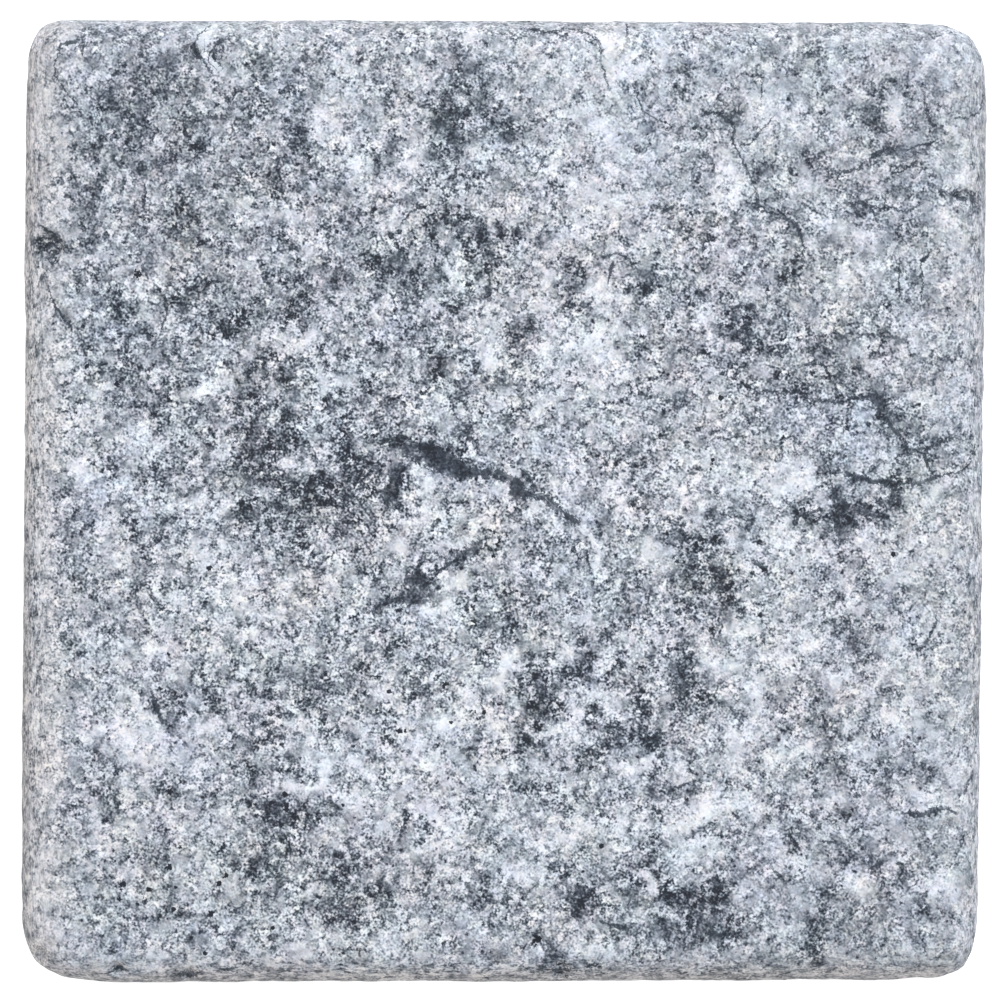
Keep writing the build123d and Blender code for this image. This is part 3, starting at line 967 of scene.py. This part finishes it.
# Veins and cracks: tone steps of the core, how much of it covers the grain, how far its edges fray in mm
CORES = {
    "slate_bands": (-2.05, 0.96, 1.9),
    "flakes": (-2.0, 0.8, 2.8),
    "seams": (-2.2, 0.88, 1.4),
    "pale_lines": (1.25, 0.85, 1.4),
    "cracks_and_chip_shade": (-2.5, 0.88, 1.0),
}

# Softness of a core's edges in millimetres, the share of its cover that is broken up, and the heights of the
# broken pattern between which that goes from bare to covered
CORE_SOFT_MM = 0.07
BROKEN_SHARE = 0.35
BROKEN_HEIGHTS = (-0.25, 0.1)

# Pits, painted dark as the shade in their hollows: tone steps, how ragged their rims are, where they end and
# where they are full in shares of the radius, and the least radius in millimetres
PIT_SHADE_TONE = -3.5
PIT_RAGGED = 4.5
PIT_END = 1.25
PIT_CORE = 0.85
LEAST_PIT_MM = 0.05

# How much of the grain glints through in veins, cracks and pits
GLINT_SHARE = 0.33

# The stone's hue turns warmer or cooler, greener or pinker: from patch to patch, and from one large or
# small crystal to the next. The patches have a start and a size in millimetres.
HUE_PATCHES = (231.3, 12.0)
WARM_SWINGS = (0.15, 0.035, 0.05)
GREEN_SWINGS = (0.11, 0.025, 0.045)
WARM_MIDDLE = 0.993

# Warm tint on the rims, partly dust and partly painted shade: its tint, and how much of the other hues it
# hides
DUST_AND_SHADE_TINT = (1.09, 1.0, 0.92, 1)
TINT_HIDES = 0.7

# The matt skin: depth of its relief in millimetres, how much of that the light shows, roughness and shine
RELIEF_MM = 0.2
RELIEF_SHARE = 0.3
SKIN_ROUGHNESS = 0.68
SKIN_SHINE = 0.3


def linear(part):
    """A screen colour's part, from 0 to 255, as light."""
    share = part / 255
    return share / 12.92 if share <= 0.04045 else ((share + 0.055) / 1.055) ** 2.4


def turned(tree, in_mm, start):
    """The stone's places, shifted and turned by a pattern's start."""
    shift = [start * share for share in START_SHIFTS]
    turn = [base + start * share for base, share in zip(BASE_TURNS, START_TURNS)]
    node = place(tree, "ShaderNodeMapping", {"Vector": in_mm, "Location": shift, "Rotation": turn})
    return node.outputs[0]


def pattern(tree, in_mm, name):
    """One of the chance patterns, even about 0."""
    start, size, detail, stirred_by = PATTERNS[name]
    waves = place(tree, "ShaderNodeTexNoise",
                  {"Vector": turned(tree, in_mm, start), "Scale": 1 / size, "Detail": detail,
                   "Roughness": 1.0, "Distortion": stirred_by})
    return maths(tree, "SUBTRACT", waves.outputs["Fac"], 0.5)


def crystals(tree, in_mm, start, size, ragged_mm):
    """Crystals with ragged edges: a chance colour for each one, and the distance from its middle."""
    here = turned(tree, in_mm, start)
    waves = place(tree, "ShaderNodeTexNoise",
                  {"Vector": here, "Scale": WAVES_PER_CRYSTAL / size, "Detail": 1.0, "Roughness": 0.8})
    push = place(tree, "ShaderNodeVectorMath",
                 {0: waves.outputs["Color"], 1: (2 * ragged_mm,) * 3, 2: here}, operation="MULTIPLY_ADD")
    return place(tree, "ShaderNodeTexVoronoi", {"Vector": push.outputs[0], "Scale": 1 / size}).outputs


def parted(tree, colour):
    """The three parts of a colour."""
    return place(tree, "ShaderNodeSeparateColor", {0: colour}).outputs


def kept_number(tree, name):
    """The one number that the tile's vertices keep under this name."""
    return place(tree, "ShaderNodeAttribute", attribute_name=name).outputs["Fac"]


def kept(tree, name):
    """The three numbers that the tile's vertices keep under this name."""
    mark = place(tree, "ShaderNodeAttribute", attribute_name=name)
    return place(tree, "ShaderNodeSeparateXYZ", {0: mark.outputs["Vector"]}).outputs


def grain_tone(tree, in_mm, small):
    """Tone steps of the fine grain, the small crystals and the specks among them."""
    small_tone, small_green, _ = parted(tree, small["Color"])
    tone = maths(tree, "MULTIPLY", pattern(tree, in_mm, "fine"), FINE_STEPS)
    tone = maths(tree, "MULTIPLY_ADD", pattern(tree, in_mm, "finest"), FINEST_STEPS, tone)
    tone = maths(tree, "MULTIPLY_ADD", maths(tree, "SUBTRACT", small_tone, 0.5), SMALL_CRYSTAL_STEPS, tone)
    busy = maths(tree, "MULTIPLY_ADD", pattern(tree, in_mm, "busy"), BUSY_SWING, 1.0)
    busy = maths(tree, "MULTIPLY_ADD", kept_number(tree, "clouds"), BUSY_CLOUD_SHARE, busy)
    tone = maths(tree, "MULTIPLY", tone, maths(tree, "MAXIMUM", busy, LEAST_BUSY))
    _, crystal_mm, _ = SMALL_CRYSTALS
    speck_reach = 0.5 * SPECK_MM / crystal_mm
    speck = soft_step(tree, small["Distance"], speck_reach, SPECK_CORE * speck_reach)
    dark_share, dark_steps = DARK_SPECKS
    bright_share, bright_steps = BRIGHT_SPECKS
    dark = maths(tree, "LESS_THAN", small_green, dark_share)
    bright = maths(tree, "GREATER_THAN", small_green, 1 - bright_share)
    speck_tone = maths(tree, "MULTIPLY_ADD", bright, bright_steps, maths(tree, "MULTIPLY", dark, dark_steps))
    return maths(tree, "MULTIPLY_ADD", speck, speck_tone, tone)


def streaked_tone(tree, in_mm, tone):
    """The tone with the drum's streaks drawn over it, down the picture or across it."""
    share, downwards, _ = kept(tree, "streaks")
    squeeze = place(tree, "ShaderNodeMix",
                    {0: maths(tree, "GREATER_THAN", downwards, 0.5), 4: (STREAK_ALONG, STREAK_ACROSS, 1.0),
                     5: (STREAK_ACROSS, STREAK_ALONG, 1.0)}, data_type="VECTOR").outputs[1]
    drawn_out = place(tree, "ShaderNodeVectorMath", {0: in_mm, 1: squeeze}, operation="MULTIPLY").outputs[0]
    waves = place(tree, "ShaderNodeTexNoise",
                  {"Vector": drawn_out, "Scale": 1 / STREAK_MM, "Detail": 2.0, "Roughness": 1.0})
    height = maths(tree, "SUBTRACT", waves.outputs["Fac"], 0.5)
    off_line = maths(tree, "ABSOLUTE", maths(tree, "SUBTRACT", height, STREAK_LINE_HEIGHT))
    thin_line = soft_step(tree, off_line, STREAK_LINE_WIDTH, 0.0)
    streak = maths(tree, "MULTIPLY", height, STREAK_STEPS)
    streak = maths(tree, "MULTIPLY_ADD", thin_line, STREAK_LINE_STEPS, streak)
    tone = maths(tree, "MULTIPLY", tone, maths(tree, "MULTIPLY_ADD", share, -STREAK_CALM, 1.0))
    return maths(tree, "MULTIPLY_ADD", share, streak, tone)


def clouded_tone(tree, in_mm, tone, large):
    """The tone with large crystals, clots and clouds added, quieter far out and where the edge is worn."""
    worn, _, front = kept(tree, "skin")
    _, _, quiet = kept(tree, "streaks")
    large_tone, _, _ = parted(tree, large["Color"])
    tone = maths(tree, "MULTIPLY_ADD", maths(tree, "SUBTRACT", large_tone, 0.5), LARGE_CRYSTAL_STEPS, tone)
    tone = maths(tree, "MULTIPLY_ADD", pattern(tree, in_mm, "clots"), CLOT_STEPS, tone)
    tone = maths(tree, "MULTIPLY", tone, maths(tree, "SUBTRACT", 1.0, quiet))
    hidden = maths(tree, "SUBTRACT", 1.0, front)
    unseen_clouds = maths(tree, "MULTIPLY", pattern(tree, in_mm, "unseen_clouds"), UNSEEN_CLOUD_STEPS)
    tone = maths(tree, "ADD", tone, mixed(tree, hidden, kept_number(tree, "clouds"), unseen_clouds))
    return maths(tree, "MULTIPLY", tone, maths(tree, "MULTIPLY_ADD", worn, -WORN_CALM, 1.0))


def veined_tone(tree, in_mm, tone):
    """The tone with veins, flakes, seams, cracks and the painted shade of chips and pits laid into it, all
    with ragged edges.
    """
    ragged = pattern(tree, in_mm, "ragged")
    broken = soft_step(tree, pattern(tree, in_mm, "broken"), *BROKEN_HEIGHTS)
    glint = maths(tree, "MULTIPLY", tone, GLINT_SHARE)
    for name, (core, cover, fray) in CORES.items():
        side, half_width, shows = kept(tree, name)
        off_line = maths(tree, "ABSOLUTE", maths(tree, "MULTIPLY_ADD", ragged, fray, side))
        outer = maths(tree, "ADD", half_width, CORE_SOFT_MM)
        inner = maths(tree, "SUBTRACT", half_width, CORE_SOFT_MM)
        core_share = maths(tree, "MULTIPLY", soft_step(tree, off_line, outer, inner), shows)
        cover_share = maths(tree, "MULTIPLY_ADD", broken, BROKEN_SHARE * cover, (1 - BROKEN_SHARE) * cover)
        core_share = maths(tree, "MULTIPLY", core_share, cover_share)
        tone = mixed(tree, core_share, tone, maths(tree, "ADD", glint, core))

    # Each pit is painted dark, as the shade in its hollow
    step_x, step_y, radius = kept(tree, "pits")
    from_middle = place(tree, "ShaderNodeCombineXYZ", {0: step_x, 1: step_y}).outputs[0]
    away = place(tree, "ShaderNodeVectorMath", {0: from_middle}, operation="LENGTH").outputs["Value"]
    away = maths(tree, "MULTIPLY_ADD", maths(tree, "MULTIPLY", ragged, radius), PIT_RAGGED, away)
    pit_end = maths(tree, "MULTIPLY", radius, PIT_END)
    pit_core = maths(tree, "MULTIPLY", radius, PIT_CORE)
    pit = soft_step(tree, away, pit_end, pit_core)
    pit = maths(tree, "MULTIPLY", pit, maths(tree, "GREATER_THAN", radius, LEAST_PIT_MM))
    return mixed(tree, pit, tone, maths(tree, "ADD", glint, PIT_SHADE_TONE))


def tone_colour(tree, tone):
    """The stone's colour at each tone."""
    shade = maths(tree, "MULTIPLY_ADD", tone, 0.5 / TONE_REACH, 0.5)
    ramp = place(tree, "ShaderNodeValToRGB", {"Fac": shade})
    stops = ramp.color_ramp.elements
    while len(stops) < len(STONE_TONES):
        stops.new(0.5)
    for stop, (step, colour) in zip(stops, STONE_TONES):
        stop.position = 0.5 + 0.5 * step / TONE_REACH
        stop.color = (*[linear(part) for part in colour], 1)
    return ramp.outputs["Color"]


def swung(tree, shares, swings, middle=1.0):
    """A number that each of these shares swings to either side of the middle."""
    total = middle - sum(swings) / 2
    for share, swing in zip(shares, swings):
        total = maths(tree, "MULTIPLY_ADD", share, swing, total)
    return total


def times(tree, share, colour, tint):
    """The colour with this share of the tint laid over it."""
    node = place(tree, "ShaderNodeMix", {0: share, 6: colour, 7: tint},
                 data_type="RGBA", blend_type="MULTIPLY")
    return node.outputs[2]


def tinted_colour(tree, in_mm, colour, small, large):
    """The colour turned by the hues of patches and crystals, and warmed on the rims by dust and painted
    shade.
    """
    start, patch_mm = HUE_PATCHES
    patches = place(tree, "ShaderNodeTexNoise",
                    {"Vector": turned(tree, in_mm, start), "Scale": 1 / patch_mm, "Detail": 2.0,
                     "Roughness": 1.0})
    warm, green, _ = parted(tree, patches.outputs["Color"])
    _, large_green, large_warm = parted(tree, large["Color"])
    _, small_green, small_warm = parted(tree, small["Color"])
    more_red = swung(tree, (warm, large_warm, small_warm), WARM_SWINGS, WARM_MIDDLE)
    less_blue = maths(tree, "SUBTRACT", 2.0, more_red)
    more_green = swung(tree, (green, large_green, small_green), GREEN_SWINGS)
    tint = place(tree, "ShaderNodeCombineColor", {0: more_red, 1: more_green, 2: less_blue}).outputs[0]
    _, dust_and_shade, _ = kept(tree, "skin")
    hue_share = maths(tree, "MULTIPLY_ADD", dust_and_shade, -TINT_HIDES, 1.0)
    return times(tree, dust_and_shade, times(tree, hue_share, colour, tint), DUST_AND_SHADE_TINT)


def marble():
    """Crystalline grey marble: clouds, grains of several sizes, dark veins, pits and a matt tumbled skin."""
    material = new_material("marble")
    tree = material.node_tree
    where = place(tree, "ShaderNodeTexCoord").outputs["Object"]
    in_mm = place(tree, "ShaderNodeVectorMath", {0: where, "Scale": 1 / MM}, operation="SCALE").outputs[0]
    small = crystals(tree, in_mm, *SMALL_CRYSTALS)
    large = crystals(tree, in_mm, *LARGE_CRYSTALS)

    tone = grain_tone(tree, in_mm, small)
    tone = streaked_tone(tree, in_mm, tone)
    tone = clouded_tone(tree, in_mm, tone, large)
    tone = veined_tone(tree, in_mm, tone)
    colour = tinted_colour(tree, in_mm, tone_colour(tree, tone), small, large)

    bump = place(tree, "ShaderNodeBump",
                 {"Height": pattern(tree, in_mm, "relief"), "Strength": RELIEF_SHARE,
                  "Distance": RELIEF_MM * MM})
    stone = place(tree, "ShaderNodeBsdfPrincipled",
                  {"Base Color": colour, "Roughness": SKIN_ROUGHNESS, "Normal": bump.outputs[0],
                   "Specular IOR Level": SKIN_SHINE})
    place(tree, "ShaderNodeOutputMaterial", {"Surface": stone.outputs[0]})
    return material


# The studio: the table's size in metres, its grey, and the glow that makes it white where it is seen itself
TABLE_SIZE = 4
TABLE_GREY = 0.8
TABLE_GLOW = 0.75

# Strength of the light all round, and the panel above the far edge: place and size in metres, power in watts
WORLD_LIGHT = 0.605
PANEL_PLACE = (0.25, 0.9, 0.9)
PANEL_SIZE = 0.8
PANEL_POWER = 11


def background_share(tree):
    """1 for the rays that see the background itself, and 0 for those that light the tile."""
    path = place(tree, "ShaderNodeLightPath")
    seen = maths(tree, "MAXIMUM", path.outputs["Is Camera Ray"], path.outputs["Is Glossy Ray"])
    return maths(tree, "MAXIMUM", seen, path.outputs["Is Transmission Ray"])


def white_table():
    """A white table that fills the view with white and still shows the tile's soft shadow."""
    bpy.ops.object.select_all(action="DESELECT")
    bpy.ops.mesh.primitive_plane_add(size=TABLE_SIZE)
    table = bpy.context.object
    table.name = "table"
    material = new_material("white_table")
    tree = material.node_tree
    glow = maths(tree, "MULTIPLY", background_share(tree), TABLE_GLOW)
    white = place(tree, "ShaderNodeBsdfPrincipled",
                  {"Base Color": (TABLE_GREY, TABLE_GREY, TABLE_GREY, 1), "Roughness": 0.9,
                   "Specular IOR Level": 0.0, "Emission Color": (1, 1, 1, 1), "Emission Strength": glow})
    place(tree, "ShaderNodeOutputMaterial", {"Surface": white.outputs[0]})
    table.data.materials.append(material)


def light_panel(name, place_at, size, power):
    """A square soft light that faces the tile."""
    lamp = bpy.data.lights.new(name, "AREA")
    lamp.size = size
    lamp.energy = power
    panel = bpy.data.objects.new(name, lamp)
    panel.location = place_at
    panel.rotation_euler = (-Vector(place_at)).to_track_quat("-Z", "Y").to_euler()
    bpy.context.scene.collection.objects.link(panel)


def light_studio():
    """Even white light all round, with a soft panel above the far edge."""
    world = bpy.data.worlds.new("studio")
    world.use_nodes = True
    tree = world.node_tree
    tree.nodes.clear()
    strength = maths(tree, "MULTIPLY_ADD", background_share(tree), 1 - WORLD_LIGHT, WORLD_LIGHT)
    sky = place(tree, "ShaderNodeBackground", {"Color": (1, 1, 1, 1), "Strength": strength})
    place(tree, "ShaderNodeOutputWorld", {"Surface": sky.outputs[0]})
    bpy.context.scene.world = world
    light_panel("far_panel", PANEL_PLACE, PANEL_SIZE, PANEL_POWER)


def set_camera():
    """A long lens looking straight down, so that the tile fills the frame as it does in the picture."""
    sensor_mm = 36.0
    seen_mm = PICTURE_HEIGHT / POINTS_PER_MM
    lens = bpy.data.cameras.new("camera")
    lens.sensor_width = sensor_mm
    lens.lens = sensor_mm * CAMERA_DISTANCE / (seen_mm * MM)
    camera = bpy.data.objects.new("camera", lens)
    camera.location = (AIM_X, AIM_Y, OUTLINE_LEVEL + CAMERA_DISTANCE)
    bpy.context.scene.collection.objects.link(camera)
    bpy.context.scene.camera = camera


tile = build_tile()
tile.data.materials.append(marble())
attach(tile, "root")
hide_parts("marble_tile")
white_table()
light_studio()
set_camera()
bpy.context.scene.view_settings.view_transform = "Standard"

print("tile triangles", sum(len(face.vertices) - 2 for face in tile.data.polygons))
